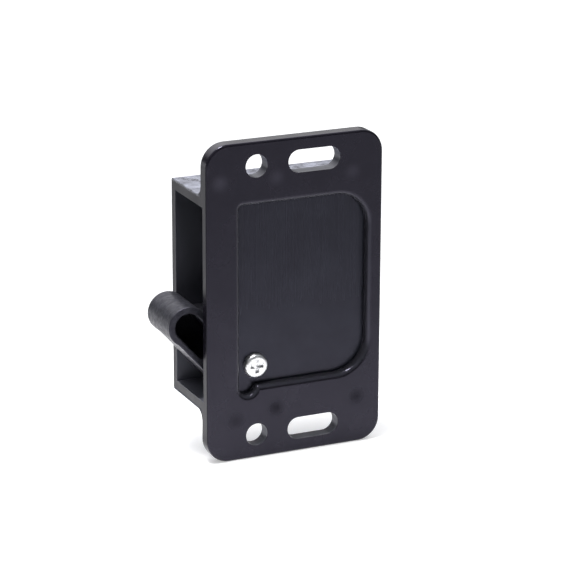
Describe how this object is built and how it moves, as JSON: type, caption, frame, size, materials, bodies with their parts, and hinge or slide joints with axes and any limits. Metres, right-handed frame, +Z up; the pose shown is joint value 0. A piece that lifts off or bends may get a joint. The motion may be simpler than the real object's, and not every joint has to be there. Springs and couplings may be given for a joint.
{
  "type": "push-to-close catch",
  "caption": "Self-grabbing door catch: a pivoted finger in an open-sided plastic housing snaps over centre on a spring strut and holds a keeper.",
  "frame": {"origin": "midway between the two round fixing holes, on the mounting face", "axes": "+X across the mounting face away from the finger, +Y into the housing (the mounting face looks along -Y), +Z up the long side of the plate"},
  "size_m": [0.0516, 0.0207, 0.0762],
  "materials": {
    "housing_plastic": "black moulded, satin gloss",
    "cover_plastic": "black, lightly rubbed",
    "plated_steel": "bright zinc plate",
    "finger_plastic": "black moulded, slightly mottled",
    "pin_steel": "ground steel",
    "strut_plastic": "black moulded",
    "spring_steel": "drawn wire"
  },
  "bodies": {
    "housing": {"housing": "housing_plastic", "cover_plate": "cover_plastic", "cover_screw": "plated_steel", "finger_pivot_pin": "pin_steel", "anchor_pin": "pin_steel"},
    "finger": {"finger": "finger_plastic", "link_pin": "pin_steel"},
    "spring_cup": {"spring_cup": "strut_plastic", "compression_spring": "spring_steel"},
    "spring_rod": {"spring_rod": "strut_plastic"}
  },
  "joints": [
    {"name": "finger_pivot", "type": "hinge", "parent": "housing", "child": "finger", "pos_m": [-0.002, 0.0139, -0.0204], "axis": [0, 1, 0], "range_deg": [0, 41]},
    {"name": "cup_swing", "type": "hinge", "parent": "housing", "child": "spring_cup", "pos_m": [0.02439, 0.0138, -0.01105], "axis": [0, 1, 0], "range_deg": [-21.3, 0]},
    {"name": "rod_slide", "type": "slide", "parent": "spring_cup", "child": "spring_rod", "axis": [0.9881, 0, 0.1539], "range_m": [0, 0.001], "stiffness_N_per_m": 400, "deforming": ["compression_spring"]}
  ],
  "couplings": [
    {"joint": "cup_swing", "follows": "finger_pivot", "ratio": -0.51924}
  ]
}
